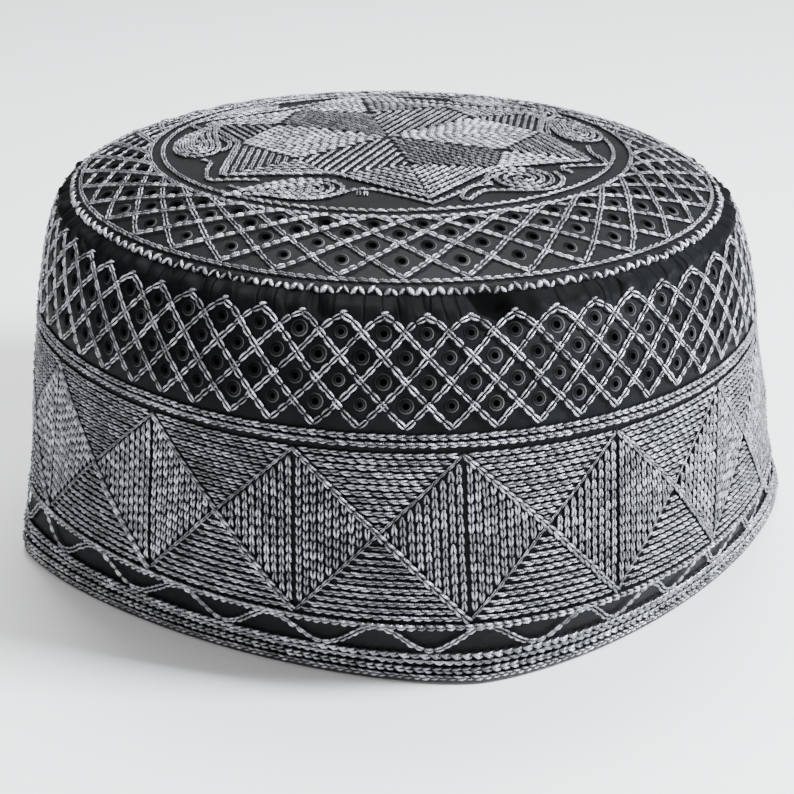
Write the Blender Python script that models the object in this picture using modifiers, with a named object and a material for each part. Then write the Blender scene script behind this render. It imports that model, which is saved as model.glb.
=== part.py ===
"""An embroidered kufi: a soft, brimless, flat-topped cap of black cloth.

Four sewn pieces, each a closed solid of its real thickness:
side_band, the wall that goes round the head, with a padded strip at its top;
crown_panel, the gently domed top;
crown_seam, the overcast ridge that joins the two;
hem_binding, the folded edge that the cap stands on.

The origin is on the surface that the hem rests on, in the middle of the cap.
Front is -Y and up is +Z. Lengths are metres, angles are degrees.
"""

from collections import namedtuple
from math import pi, radians

import bpy
import numpy as np

# Driving dimensions of the cap's form
HEM_HALF_WIDTH = 0.0985
HALF_DEPTH = 0.0985
SIDE_HEIGHT = 0.0899
CROWN_RISE = 0.0098
CROWN_LEAN_X = -0.019
CROWN_LEAN_Y = -0.007
BACK_ROUNDNESS = 2.05

# Cloth, seam and binding
CLOTH_WALL = 0.0020
SEAM_RADIUS = 0.0012
BINDING_HEIGHT = 0.0018
BINDING_PROUD = 0.0005
BINDING_WIDTH = 0.0032
BINDING_ROUND = 0.0006
SEWN_GAP = 0.0003

# The padded strip below the crown seam: a soft roll, a crease along it, and the dent where
# its ends overlap. Heights and their spreads are shares of SIDE_HEIGHT, bearings run from
# the front towards +X.
STRIP_HEIGHT = 0.979
STRIP_SPREAD = 0.014
STRIP_BULGE = 0.0006
CREASE_HEIGHT = 0.962
CREASE_SPREAD = 0.006
CREASE_DEPTH = 0.0004
JOIN_BEARING = 0.5
JOIN_SPREAD = 4.0
JOIN_DENT = 0.0016
PUCKER_DEPTH = 0.00035

# The ripples that pucker the strip: how many go round, how deep each is as a share of
# PUCKER_DEPTH, and where it starts
Ripple = namedtuple("Ripple", "count share start")
RIPPLES = (
    Ripple(19, 1.0, 0.0),
    Ripple(25, 0.6, 75.0),
    Ripple(11, 0.4, 120.0),
)

# How finely the surfaces are divided
POINTS_ROUND = 84
POINTS_TRACED = 1440
SEAM_SIDES = 6
SHARP_EDGE = 50.0

# Level sections of the side, from the hem up to the crown seam. height is a share of
# SIDE_HEIGHT. width and shift_x are shares of HEM_HALF_WIDTH. front, back and shift_y are
# shares of HALF_DEPTH. roundness and corner are the superellipse's exponents across and
# along: 2 and 2 is an ellipse, less roundness makes the front less blunt, and less corner
# sharpens the creases at the two sides, where the cap was stored folded flat.
Section = namedtuple("Section", "name height width front back roundness corner shift_x shift_y")
SIDE_SECTIONS = (
    Section("hem", 0.000, 1.000, 0.890, 0.985, 1.58, 1.34, 0.000, 0.000),
    Section("hem_turn", 0.030, 1.000, 0.890, 0.985, 1.58, 1.34, 0.000, 0.000),
    Section("wave", 0.130, 0.978, 0.930, 1.013, 1.76, 1.44, -0.007, -0.003),
    Section("diamond_foot", 0.228, 0.960, 0.964, 1.030, 1.90, 1.52, -0.012, -0.006),
    Section("diamond_top", 0.656, 0.899, 0.965, 0.990, 2.02, 1.73, -0.029, -0.018),
    Section("lattice_foot", 0.722, 0.889, 0.970, 0.980, 2.04, 1.80, -0.032, -0.019),
    Section("strip", 0.961, 0.835, 0.920, 0.920, 2.04, 1.98, -0.030, 0.014),
    Section("seam", 1.000, 0.794, 0.865, 0.865, 2.04, 2.04, -0.029, 0.024),
)

# Rings of the crown from its seam to its middle. inward is the share of the way to the
# middle, width and depth are shares of the seam's own half width and half depth, and rise
# is a share of CROWN_RISE above the seam's centre line.
Ring = namedtuple("Ring", "name inward width depth rise")
CROWN_RINGS = (
    Ring("seam", 0.00, 1.000, 1.000, 0.00),
    Ring("edge_chain", 0.04, 0.968, 0.955, 0.18),
    Ring("lattice", 0.12, 0.885, 0.845, 0.50),
    Ring("double_ring", 0.25, 0.753, 0.680, 0.82),
    Ring("medallion", 0.45, 0.555, 0.500, 0.93),
    Ring("star", 0.72, 0.280, 0.252, 0.985),
    Ring("middle", 1.00, 0.000, 0.000, 1.00),
)

# Where the mesh has its rows: shares of the side's height above the foot and below the
# seam, and shares of the way into the crown
SIDE_ROWS = (0.030, 0.075, 0.13, 0.228, 0.335, 0.44, 0.55, 0.656, 0.722, 0.80,
             0.87, 0.92, 0.950, 0.962, 0.976)
CROWN_ROWS = (0.05, 0.12, 0.19, 0.27, 0.45, 0.72)

CLOTH_COLOR = (0.016, 0.017, 0.019, 1.0)
BINDING_COLOR = (0.010, 0.010, 0.012, 1.0)
THREAD_COLOR = (0.42, 0.43, 0.46, 1.0)


def smooth_between(known, values, wanted):
    """Values of a smooth curve through the known points that never overshoots them.

    Each stretch is a cubic whose end slopes are the harmonic mean of the slopes of the two
    stretches that meet there, and zero where the curve turns.
    """
    known = np.asarray(known, float)
    values = np.asarray(values, float)
    wanted = np.atleast_1d(np.asarray(wanted, float))
    step = np.diff(known)
    rate = np.diff(values) / step
    slope = np.zeros(len(known))
    same_way = rate[:-1] * rate[1:] > 0
    both = np.where(same_way, rate[:-1] + rate[1:], 1.0)
    slope[1:-1] = np.where(same_way, 2 * rate[:-1] * rate[1:] / both, 0.0)
    slope[0] = rate[0]
    slope[-1] = rate[-1]
    place = np.clip(np.searchsorted(known, wanted) - 1, 0, len(step) - 1)
    t = (wanted - known[place]) / step[place]
    return (
        values[place] * (1 + 2 * t) * (1 - t) ** 2
        + step[place] * slope[place] * t * (1 - t) ** 2
        + values[place + 1] * t * t * (3 - 2 * t)
        - step[place] * slope[place + 1] * t * t * (1 - t)
    )


def column(table, field):
    """One named column of a table, as an array."""
    return np.array([getattr(row, field) for row in table], float)


def middle_y():
    """How far the plan's centre is moved so that the cap's box is centred front to back."""
    shift = column(SIDE_SECTIONS, "shift_y")
    front = (column(SIDE_SECTIONS, "front") - shift).max()
    back = (column(SIDE_SECTIONS, "back") + shift).max()
    return HALF_DEPTH * (front - back) / 2


def plan_curve(width, front, back, roundness, corner, centre):
    """A superellipse seen from above, with unlike front and back halves.

    It starts at the front, turns towards +X, and its points are evenly spaced along it.
    """
    angle = np.linspace(-pi / 2, 3 * pi / 2, POINTS_TRACED + 1)
    across = np.cos(angle)
    along = np.sin(angle)
    behind = along > 0
    depth = np.where(behind, back, front)
    power = np.where(behind, 2.0 / BACK_ROUNDNESS, 2.0 / roundness)
    x = centre[0] + width * np.sign(across) * np.abs(across) ** power
    y = centre[1] + depth * np.sign(along) * np.abs(along) ** (2.0 / corner)
    run = np.concatenate(([0.0], np.cumsum(np.hypot(np.diff(x), np.diff(y)))))
    even = np.linspace(0.0, run[-1], POINTS_ROUND + 1)[:-1]
    return np.interp(even, run, x), np.interp(even, run, y)


def side_plan(share, inset=0.0):
    """The side's plan curve at a share of its height, moved inwards by inset."""
    heights = column(SIDE_SECTIONS, "height")

    def at(field):
        return smooth_between(heights, column(SIDE_SECTIONS, field), share)[0]

    centre = (at("shift_x") * HEM_HALF_WIDTH, at("shift_y") * HALF_DEPTH + middle_y())
    return plan_curve(
        at("width") * HEM_HALF_WIDTH - inset,
        at("front") * HALF_DEPTH - inset,
        at("back") * HALF_DEPTH - inset,
        at("roundness"),
        at("corner"),
        centre,
    )


def crown_centre():
    """The middle of the crown seam's plan."""
    seam = SIDE_SECTIONS[-1]
    return seam.shift_x * HEM_HALF_WIDTH, seam.shift_y * HALF_DEPTH + middle_y()


def leaned(x, y, z):
    """The same points with the cap's top tipped a little: none at the hem, all at the top."""
    share = np.clip(z / SIDE_HEIGHT, 0.0, 1.0)
    return z + share * (CROWN_LEAN_X * x + CROWN_LEAN_Y * y)


def grid_normals(grid):
    """The outward normals of a grid of points whose rows go up and whose columns go round."""
    round_way = np.roll(grid, -1, axis=1) - np.roll(grid, 1, axis=1)
    up_way = np.gradient(grid, axis=0)
    normal = np.cross(round_way, up_way)
    return normal / np.linalg.norm(normal, axis=2, keepdims=True)


def bump(value, centre, spread):
    """A smooth hill of height 1 about centre, 0.37 high at one spread from it."""
    return np.exp(-((value - centre) / spread) ** 2)


def strip_relief(share, bearing):
    """How far the cloth stands out of its plain form at a share of the height, in metres."""
    in_strip = bump(share, STRIP_HEIGHT, STRIP_SPREAD)
    crease = bump(share, CREASE_HEIGHT, CREASE_SPREAD)
    ripple = sum(r.share * np.sin(r.count * bearing + radians(r.start)) for r in RIPPLES)
    off_join = np.angle(np.exp(1j * (bearing - radians(JOIN_BEARING))))
    dent = bump(off_join, 0.0, radians(JOIN_SPREAD))
    roll = STRIP_BULGE + PUCKER_DEPTH * ripple - JOIN_DENT * dent
    return roll * in_strip - CREASE_DEPTH * crease


def side_row(share):
    """The side's outer points at one share of its height, without lean or relief."""
    x, y = side_plan(share)
    return np.stack([x, y, np.full(len(x), share * SIDE_HEIGHT)], axis=1)


def beside_seam(seam_line, towards):
    """Points a seam's radius and the sewn gap away from its centre line, towards others."""
    away = towards - seam_line
    away = away / np.linalg.norm(away, axis=1, keepdims=True)
    return seam_line + away * (SEAM_RADIUS + SEWN_GAP)


def tipped(grid):
    """A grid of points with the lean of the cap's top added to their heights."""
    moved = grid.copy()
    moved[..., 2] = leaned(grid[..., 0], grid[..., 1], grid[..., 2])
    return moved


def side_grid():
    """The outer face of the side band, as a grid of points: rows up, columns round."""
    foot = (BINDING_HEIGHT + SEWN_GAP) / SIDE_HEIGHT
    shares = np.array((foot,) + SIDE_ROWS)
    grid = np.array([side_row(share) for share in shares])
    bearing = 2 * pi * np.arange(POINTS_ROUND) / POINTS_ROUND
    relief = strip_relief(shares[:, None], bearing[None, :])
    grid = grid + grid_normals(grid) * relief[:, :, None]
    head = beside_seam(side_row(1.0), grid[-1])
    return tipped(np.concatenate([grid, head[None]]))


def crown_row(share):
    """The crown's upper points at one share of the way to its middle, without lean."""
    seam = SIDE_SECTIONS[-1]
    inward = column(CROWN_RINGS, "inward")

    def at(field):
        return smooth_between(inward, column(CROWN_RINGS, field), share)[0]

    x, y = plan_curve(
        at("width") * seam.width * HEM_HALF_WIDTH,
        at("depth") * seam.front * HALF_DEPTH,
        at("depth") * seam.back * HALF_DEPTH,
        seam.roundness,
        seam.corner,
        crown_centre(),
    )
    height = SIDE_HEIGHT + at("rise") * CROWN_RISE
    return np.stack([x, y, np.full(len(x), height)], axis=1)


def crown_grid():
    """The upper face of the crown, as a grid of points: rows inwards, columns round."""
    grid = np.array([crown_row(share) for share in CROWN_ROWS])
    edge = beside_seam(side_row(1.0), grid[0])
    return tipped(np.concatenate([edge[None], grid]))


def ring_grid(share, profile):
    """A closed profile carried round the side's plan curve at a share of its height.

    profile is a list of (outward, up) offsets in metres, turning anticlockwise as seen with
    outward to the right. The rows of the grid go round the profile.
    """
    rows = []
    for outward, up in profile:
        x, y = side_plan(share, inset=-outward)
        rows.append(np.stack([x, y, np.full(len(x), share * SIDE_HEIGHT + up)], axis=1))
    return tipped(np.array(rows))


def round_profile(radius, sides):
    """A circle's corners as (outward, up) offsets."""
    angle = 2 * pi * np.arange(sides) / sides
    return [(radius * np.cos(a), radius * np.sin(a)) for a in angle]


def binding_profile():
    """The folded hem's section: flat below and above, and round where it turns up."""
    outer = BINDING_PROUD
    inner = BINDING_PROUD - BINDING_WIDTH
    middle = BINDING_HEIGHT / 2
    return [
        (outer, middle),
        (outer - BINDING_ROUND, BINDING_HEIGHT),
        (inner + BINDING_ROUND, BINDING_HEIGHT),
        (inner, middle),
        (inner + BINDING_ROUND, 0.0),
        (outer - BINDING_ROUND, 0.0),
    ]


def grid_faces(rows, columns, closed):
    """Quads between the rows of a grid whose columns go all the way round."""
    count = rows if closed else rows - 1
    row, col = np.meshgrid(np.arange(count), np.arange(columns), indexing="ij")
    above = (row + 1) % rows
    after = (col + 1) % columns
    corners = [row * columns + col, row * columns + after,
               above * columns + after, above * columns + col]
    return np.stack(corners, axis=-1).reshape(-1, 4).tolist()


def principled(name, color, roughness, sheen):
    """A cloth or thread material."""
    material = bpy.data.materials.new(name)
    material.use_nodes = True
    shader = material.node_tree.nodes["Principled BSDF"]
    shader.inputs["Base Color"].default_value = color
    shader.inputs["Roughness"].default_value = roughness
    shader.inputs["Metallic"].default_value = 0.0
    shader.inputs["Sheen Weight"].default_value = sheen
    material.diffuse_color = color
    return material


def add_piece(name, points, faces, material, collection):
    """A smooth-shaded mesh object in the cap's collection."""
    mesh = bpy.data.meshes.new(name)
    mesh.from_pydata(points.reshape(-1, 3).tolist(), [], faces)
    mesh.update()
    mesh.shade_smooth()
    mesh.set_sharp_from_angle(angle=radians(SHARP_EDGE))
    mesh.materials.append(material)
    piece = bpy.data.objects.new(name, mesh)
    collection.objects.link(piece)
    return piece


def add_wall(piece, thickness):
    """Gives an open surface its cloth thickness, inwards from the face that shows."""
    wall = piece.modifiers.new("cloth wall", "SOLIDIFY")
    wall.thickness = thickness
    wall.offset = -1.0
    wall.use_even_offset = True
    wall.use_rim = True


def make_side_band(material, collection):
    grid = side_grid()
    faces = grid_faces(len(grid), POINTS_ROUND, closed=False)
    piece = add_piece("side_band", grid, faces, material, collection)
    add_wall(piece, CLOTH_WALL)


def make_crown_panel(material, collection):
    grid = crown_grid()
    faces = grid_faces(len(grid), POINTS_ROUND, closed=False)
    last = (len(grid) - 1) * POINTS_ROUND
    peak = len(grid) * POINTS_ROUND
    faces += [[last + k, last + (k + 1) % POINTS_ROUND, peak] for k in range(POINTS_ROUND)]
    x, y = crown_centre()
    top = np.array([[x, y, leaned(x, y, SIDE_HEIGHT + CROWN_RISE)]])
    points = np.concatenate([grid.reshape(-1, 3), top])
    piece = add_piece("crown_panel", points, faces, material, collection)
    add_wall(piece, CLOTH_WALL)


def make_crown_seam(material, collection):
    grid = ring_grid(1.0, round_profile(SEAM_RADIUS, SEAM_SIDES))
    faces = grid_faces(len(grid), POINTS_ROUND, closed=True)
    add_piece("crown_seam", grid, faces, material, collection)


def make_hem_binding(material, collection):
    grid = ring_grid(0.0, binding_profile())
    faces = grid_faces(len(grid), POINTS_ROUND, closed=True)
    add_piece("hem_binding", grid, faces, material, collection)


def make_kufi():
    for old in list(bpy.data.objects):
        bpy.data.objects.remove(old)
    collection = bpy.data.collections.new("kufi")
    bpy.context.scene.collection.children.link(collection)
    cloth = principled("black satin cloth", CLOTH_COLOR, roughness=0.55, sheen=0.3)
    binding = principled("black binding", BINDING_COLOR, roughness=0.65, sheen=0.2)
    thread = principled("silver grey thread", THREAD_COLOR, roughness=0.42, sheen=0.3)
    make_side_band(cloth, collection)
    make_crown_panel(cloth, collection)
    make_crown_seam(thread, collection)
    make_hem_binding(binding, collection)


make_kufi()
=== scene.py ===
# %% [markdown]
# # A black kufi embroidered in silver chain stitch
#
# A kufi is a brimless cloth cap: a band that goes round the head, and a flat crown sewn on
# top of it. This one is black, and nearly all of it is covered with chain stitch.
#
# The measured model of the cap is loaded first and stays as it is. Everything below is
# placed on its surface, and its plain pieces are then hidden behind the finished ones.

# %% Load the measured model
from collections import namedtuple
from math import cos, pi, radians, sin

import bpy
import numpy as np
from mathutils import Matrix, Vector


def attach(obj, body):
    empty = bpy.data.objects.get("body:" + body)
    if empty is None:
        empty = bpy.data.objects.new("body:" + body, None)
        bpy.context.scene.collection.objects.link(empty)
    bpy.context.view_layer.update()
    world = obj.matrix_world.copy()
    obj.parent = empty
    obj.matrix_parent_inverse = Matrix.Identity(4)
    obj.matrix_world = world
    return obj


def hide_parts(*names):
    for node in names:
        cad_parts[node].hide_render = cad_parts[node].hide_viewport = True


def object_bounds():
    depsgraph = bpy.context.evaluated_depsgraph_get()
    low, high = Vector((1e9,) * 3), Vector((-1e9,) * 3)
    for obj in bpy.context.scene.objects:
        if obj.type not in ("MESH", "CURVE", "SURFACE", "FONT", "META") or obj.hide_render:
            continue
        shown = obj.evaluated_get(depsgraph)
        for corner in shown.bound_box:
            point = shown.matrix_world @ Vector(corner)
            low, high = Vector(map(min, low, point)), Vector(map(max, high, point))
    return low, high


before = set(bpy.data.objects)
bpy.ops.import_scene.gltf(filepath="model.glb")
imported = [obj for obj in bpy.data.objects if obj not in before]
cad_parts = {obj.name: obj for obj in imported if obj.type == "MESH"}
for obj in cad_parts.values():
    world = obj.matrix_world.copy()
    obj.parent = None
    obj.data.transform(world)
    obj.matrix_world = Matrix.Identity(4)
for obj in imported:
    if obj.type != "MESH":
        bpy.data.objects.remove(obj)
model_box = [list(map(float, corner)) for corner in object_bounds()]
print("measured pieces:", ", ".join(sorted(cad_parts)))
print("model's box, mm:", [[round(1000 * v, 1) for v in corner] for corner in model_box])

# %% [markdown]
# ## The form of the cap
#
# Seen from above, each level of the side is a superellipse: an ellipse whose exponents are
# free, so that one formula gives the pointed lens of the hem, where the cap was stored
# folded flat, and the round top. A short table says how the shape changes with height, and
# a smooth curve runs through its rows.

# %% Sizes and sections of the form
HEM_HALF_WIDTH = 0.0985
HALF_DEPTH = 0.0985
SIDE_HEIGHT = 0.0899
CROWN_RISE = 0.0098
CROWN_LEAN_X = -0.019
CROWN_LEAN_Y = -0.007
BACK_ROUNDNESS = 2.05
CLOTH_WALL = 0.0020
BINDING_HEIGHT = 0.0018
MM = 0.001

Section = namedtuple("Section", "name height width front back roundness corner shift_x shift_y")
SIDE_SECTIONS = (
    Section("hem", 0.000, 1.000, 0.890, 0.985, 1.58, 1.34, 0.000, 0.000),
    Section("hem_turn", 0.030, 1.000, 0.890, 0.985, 1.58, 1.34, 0.000, 0.000),
    Section("wave", 0.130, 0.978, 0.930, 1.013, 1.76, 1.44, -0.007, -0.003),
    Section("diamond_foot", 0.228, 0.960, 0.964, 1.030, 1.90, 1.52, -0.012, -0.006),
    Section("diamond_top", 0.656, 0.899, 0.965, 0.990, 2.02, 1.73, -0.029, -0.018),
    Section("lattice_foot", 0.722, 0.889, 0.970, 0.980, 2.04, 1.80, -0.032, -0.019),
    Section("strip", 0.961, 0.835, 0.920, 0.920, 2.04, 1.98, -0.030, 0.014),
    Section("seam", 1.000, 0.794, 0.865, 0.865, 2.04, 2.04, -0.029, 0.024),
)
Ring = namedtuple("Ring", "name inward width depth rise")
CROWN_RINGS = (
    Ring("seam", 0.00, 1.000, 1.000, 0.00),
    Ring("edge_chain", 0.04, 0.968, 0.955, 0.18),
    Ring("lattice", 0.12, 0.885, 0.845, 0.50),
    Ring("double_ring", 0.25, 0.753, 0.680, 0.82),
    Ring("medallion", 0.45, 0.555, 0.500, 0.93),
    Ring("star", 0.72, 0.280, 0.252, 0.985),
    Ring("middle", 1.00, 0.000, 0.000, 1.00),
)


# %% A smooth curve through a table's rows
def smooth_between(known, values, wanted):
    """Cubic between the known points; each slope is the harmonic mean of its neighbours'.

    Where the values turn, the slope is zero, so the curve never overshoots the table.
    """
    known = np.asarray(known, float)
    values = np.asarray(values, float)
    wanted = np.atleast_1d(np.asarray(wanted, float))
    step = np.diff(known)
    rate = np.diff(values) / step
    slope = np.zeros(len(known))
    same_way = rate[:-1] * rate[1:] > 0
    both = np.where(same_way, rate[:-1] + rate[1:], 1.0)
    slope[1:-1] = np.where(same_way, 2 * rate[:-1] * rate[1:] / both, 0.0)
    slope[0] = rate[0]
    slope[-1] = rate[-1]
    place = np.clip(np.searchsorted(known, wanted) - 1, 0, len(step) - 1)
    t = (wanted - known[place]) / step[place]
    return (
        values[place] * (1 + 2 * t) * (1 - t) ** 2
        + step[place] * slope[place] * t * (1 - t) ** 2
        + values[place + 1] * t * t * (3 - 2 * t)
        - step[place] * slope[place + 1] * t * t * (1 - t)
    )


def column(table, field):
    """One named column of a table, as an array."""
    return np.array([getattr(row, field) for row in table], float)


def unit(vectors):
    """Vectors of length one in the same directions."""
    return vectors / (np.linalg.norm(vectors, axis=-1, keepdims=True) + 1e-12)


def middle_y():
    """How far the plan is moved so that the cap's box is centred front to back."""
    shift = column(SIDE_SECTIONS, "shift_y")
    front = (column(SIDE_SECTIONS, "front") - shift).max()
    back = (column(SIDE_SECTIONS, "back") + shift).max()
    return HALF_DEPTH * (front - back) / 2


SEAM = SIDE_SECTIONS[-1]
CROWN_X = SEAM.shift_x * HEM_HALF_WIDTH
CROWN_Y = SEAM.shift_y * HALF_DEPTH + middle_y()
print(f"crown's middle: {CROWN_X / MM:.1f}, {CROWN_Y / MM:.1f} mm")


# %% [markdown]
# ## Surfaces as grids of points
#
# A stitch has to know where the cloth is and which way it faces. Both are worked out once
# on a fine grid, for the side and for the crown, and every stitch reads its place from the
# four grid points round it. The first number is the share of the way round, from the front
# towards +X, and the second is the share of the way up the side or in towards the middle.

# %% Plan curves at many levels
ROUND = 1440
TRACED = 1920


def plan_rows(width, front, back, roundness, corner, centre_x, centre_y):
    """Superellipses, one a row: x = a cos^(2/m), y = b sin^(2/n), evenly spaced along each."""
    angle = np.linspace(-pi / 2, 3 * pi / 2, TRACED + 1)
    across = np.cos(angle)[None, :]
    along = np.sin(angle)[None, :]
    behind = along > 0
    depth = np.where(behind, back[:, None], front[:, None])
    power = np.where(behind, 2.0 / BACK_ROUNDNESS, 2.0 / roundness[:, None])
    x = centre_x[:, None] + width[:, None] * np.sign(across) * np.abs(across) ** power
    y = centre_y[:, None] + depth * np.sign(along) * np.abs(along) ** (2.0 / corner[:, None])
    step = np.hypot(np.diff(x, axis=1), np.diff(y, axis=1))
    run = np.concatenate([np.zeros((len(x), 1)), np.cumsum(step, axis=1)], axis=1)
    even = np.linspace(0.0, 1.0, ROUND + 1)[:-1]
    rows = [np.stack([np.interp(even * r[-1], r, a), np.interp(even * r[-1], r, b)], axis=-1)
            for r, a, b in zip(run, x, y)]
    return np.array(rows), run[:, -1]


def leaned(x, y, z):
    """Heights with the top of the cap tipped a little: nothing at the hem, all at the top."""
    return z + np.clip(z / SIDE_HEIGHT, 0.0, 1.0) * (CROWN_LEAN_X * x + CROWN_LEAN_Y * y)


def grid_normals(grid):
    """Outward normals: the cross product of the way round and the way up."""
    round_way = np.roll(grid, -1, axis=1) - np.roll(grid, 1, axis=1)
    return unit(np.cross(round_way, np.gradient(grid, axis=0)))


def bump(value, centre, spread):
    """A smooth hill, exp(-((value - centre) / spread)^2)."""
    return np.exp(-((value - centre) / spread) ** 2)


# %% The strip below the seam, with its roll, its crease and its puckers
Ripple = namedtuple("Ripple", "count share start")
RIPPLES = (Ripple(19, 1.0, 0.0), Ripple(25, 0.6, 75.0), Ripple(11, 0.4, 120.0))
STRIP_HEIGHT = 0.979
STRIP_SPREAD = 0.014
STRIP_BULGE = 0.0006
CREASE_HEIGHT = 0.962
CREASE_SPREAD = 0.006
CREASE_DEPTH = 0.0004
PUCKER_DEPTH = 0.00035
JOIN_BEARING = 0.5
JOIN_SPREAD = 4.0
JOIN_DENT = 0.0016


def strip_relief(share, bearing):
    """How far the cloth stands out: a roll, plus sines round it, less a crease and a dent."""
    in_strip = bump(share, STRIP_HEIGHT, STRIP_SPREAD)
    ripple = sum(r.share * np.sin(r.count * bearing + radians(r.start)) for r in RIPPLES)
    off_join = np.angle(np.exp(1j * (bearing - radians(JOIN_BEARING))))
    dent = bump(off_join, 0.0, radians(JOIN_SPREAD))
    roll = STRIP_BULGE + PUCKER_DEPTH * ripple - JOIN_DENT * dent
    return roll * in_strip - CREASE_DEPTH * bump(share, CREASE_HEIGHT, CREASE_SPREAD)


# %% The side's surface
THREAD_ROOM = 0.00035
SIDE_LEVELS = 241
side_share = np.linspace(0.0, 1.0, SIDE_LEVELS)
heights = column(SIDE_SECTIONS, "height")
part = {field: smooth_between(heights, column(SIDE_SECTIONS, field), side_share)
        for field in Section._fields if field != "name"}
plan, side_round = plan_rows(
    part["width"] * HEM_HALF_WIDTH, part["front"] * HALF_DEPTH, part["back"] * HALF_DEPTH,
    part["roundness"], part["corner"],
    part["shift_x"] * HEM_HALF_WIDTH, part["shift_y"] * HALF_DEPTH + middle_y(),
)
level = np.broadcast_to((side_share * SIDE_HEIGHT)[:, None], plan.shape[:2])
side_points = np.concatenate([plan, level[:, :, None]], axis=2)
bearing = 2 * pi * np.arange(ROUND)[None, :] / ROUND
side_points = side_points + (grid_normals(side_points)
                             * strip_relief(side_share[:, None], bearing)[:, :, None])
side_points[..., 2] = leaned(side_points[..., 0], side_points[..., 1], side_points[..., 2])
side_normals = grid_normals(side_points)
side_points = side_points - side_normals * THREAD_ROOM
print(f"side: {side_round[0] / MM:.0f} mm round the hem, {side_round[-1] / MM:.0f} mm at the seam")

# %% The crown's surface
CROWN_LEVELS = 181
crown_share = np.linspace(0.0, 0.995, CROWN_LEVELS)
inward = column(CROWN_RINGS, "inward")
ring = {field: smooth_between(inward, column(CROWN_RINGS, field), crown_share)
        for field in ("width", "depth", "rise")}
level_of = np.ones(CROWN_LEVELS)
plan, crown_round = plan_rows(
    ring["width"] * SEAM.width * HEM_HALF_WIDTH, ring["depth"] * SEAM.front * HALF_DEPTH,
    ring["depth"] * SEAM.back * HALF_DEPTH, SEAM.roundness * level_of,
    SEAM.corner * level_of, CROWN_X * level_of, CROWN_Y * level_of,
)
level = np.broadcast_to((SIDE_HEIGHT + ring["rise"] * CROWN_RISE)[:, None], plan.shape[:2])
crown_points = np.concatenate([plan, level[:, :, None]], axis=2)
crown_points[..., 2] = leaned(crown_points[..., 0], crown_points[..., 1], crown_points[..., 2])
crown_normals = grid_normals(crown_points)
crown_points = crown_points - crown_normals * THREAD_ROOM


# %% Reading a place from a grid
def read_grid(points, normals, share_round, share_up):
    """Bilinear reading: each place is a blend of its four neighbours, by nearness."""
    col = np.mod(share_round, 1.0) * ROUND
    row = np.clip(share_up, 0.0, 1.0) * (len(points) - 1)
    c0 = np.floor(col).astype(int) % ROUND
    r0 = np.clip(np.floor(row).astype(int), 0, len(points) - 2)
    c1 = (c0 + 1) % ROUND
    a = (col - np.floor(col))[..., None]
    b = (row - r0)[..., None]

    def blend(grid):
        low = grid[r0, c0] * (1 - a) + grid[r0, c1] * a
        high = grid[r0 + 1, c0] * (1 - a) + grid[r0 + 1, c1] * a
        return low * (1 - b) + high * b

    return blend(points), unit(blend(normals))


def on_side(share, height_mm):
    """Points and normals on the side, by share of the way round and height in mm."""
    share, height_mm = np.broadcast_arrays(np.asarray(share, float), height_mm)
    return read_grid(side_points, side_normals, share, height_mm * MM / SIDE_HEIGHT)


def on_crown(share, inward_share):
    """Points and normals on the crown, by share of the way round and of the way inward."""
    share, inward_share = np.broadcast_arrays(np.asarray(share, float), inward_share)
    return read_grid(crown_points, crown_normals, share, inward_share / crown_share[-1])


def on_crown_plan(across, along):
    """Points and normals on the crown, by mm to the right of and behind its middle.

    The ring that passes through a place is found by halving, because no formula gives it.
    """
    x = np.asarray(across, float) * MM
    y = np.asarray(along, float) * MM
    half_x = SEAM.width * HEM_HALF_WIDTH
    half_y = SEAM.front * HALF_DEPTH
    low = np.zeros(x.shape)
    high = np.ones(x.shape)
    for _ in range(24):
        middle = (low + high) / 2
        w = np.interp(middle, crown_share, ring["width"]) * half_x + 1e-7
        d = np.interp(middle, crown_share, ring["depth"]) * half_y + 1e-7
        inside = (np.abs(x) / w) ** SEAM.roundness + (np.abs(y) / d) ** SEAM.corner < 1
        low = np.where(inside, middle, low)
        high = np.where(inside, high, middle)
    rise = np.interp(low, crown_share, ring["rise"])
    z = leaned(x + CROWN_X, y + CROWN_Y, SIDE_HEIGHT + rise * CROWN_RISE) - THREAD_ROOM
    point = np.stack([x + CROWN_X, y + CROWN_Y, z], axis=-1)
    away = unit(np.stack([x / half_x, y / half_y], axis=-1))
    slope = np.interp(low, crown_share, np.gradient(ring["rise"], crown_share))
    shrink = np.interp(low, crown_share, np.gradient(ring["width"], crown_share))
    fall = CROWN_RISE * slope / (shrink * half_x)
    return point, unit(np.concatenate([-fall[..., None] * away, np.ones(x.shape + (1,))], axis=-1))


# %% How well the surfaces meet the measured model
def far_from(points, piece):
    """The distances of a measured piece's corners from a grid of points, in mm."""
    mesh = bpy.data.objects[piece].data
    corners = np.empty(len(mesh.vertices) * 3)
    mesh.vertices.foreach_get("co", corners)
    corners = corners.reshape(-1, 3)
    cloud = points[::2, ::4].reshape(-1, 3)
    near = [np.linalg.norm(cloud - c, axis=1).min() for c in corners[:: max(1, len(corners) // 200)]]
    return np.array(near) / MM


for piece, grid in (("side_band", side_points), ("crown_panel", crown_points)):
    off = far_from(grid, piece)
    print(f"{piece}: half its corners within {np.median(off):.1f} mm, all within {off.max():.1f}")

# %% [markdown]
# ## Meshes and finishes
#
# One helper turns arrays into a mesh. The finishes are the black satin of the side, of its
# creased strip and of the crown, the black braid of the edge, and the silver thread. Each is
# a plain shader whose bump and colour come from small patterns in the piece's own UV map,
# measured in metres, so that the weave has its real size and follows the cloth. The strip's
# colour also holds painted shade in its creases and a painted shadow at its join.

# %% Arrays into a mesh
BODY = "root"


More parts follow.
